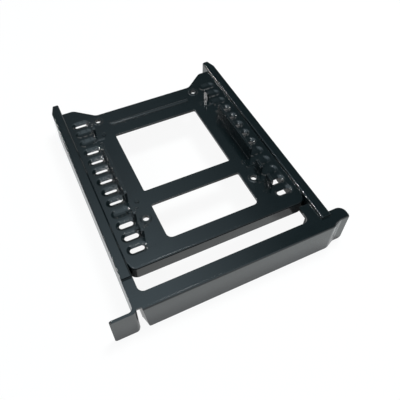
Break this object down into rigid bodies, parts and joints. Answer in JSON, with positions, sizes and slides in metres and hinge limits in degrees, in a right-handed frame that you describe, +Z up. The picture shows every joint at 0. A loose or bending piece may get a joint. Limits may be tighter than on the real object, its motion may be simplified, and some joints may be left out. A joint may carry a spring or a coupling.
{
  "type": "hard drive bracket",
  "caption": "One-piece gloss black moulded tray that carries a 2.5-inch drive between upright guides, with hollow side rails, a plain front plate, an ear and a shoulder tab.",
  "frame": {"origin": "centre of the drive's four screw holes, on the tray panel's top face", "axes": "+X to the right seen from the front, -Y out of the front plate, +Z up out of the tray towards the drive"},
  "size_m": [0.1281, 0.1437, 0.0291],
  "materials": {
    "bracket_plastic": "gloss black, fine moulded texture"
  },
  "bodies": {
    "root": {"drive_bracket": "bracket_plastic"}
  },
  "joints": []
}
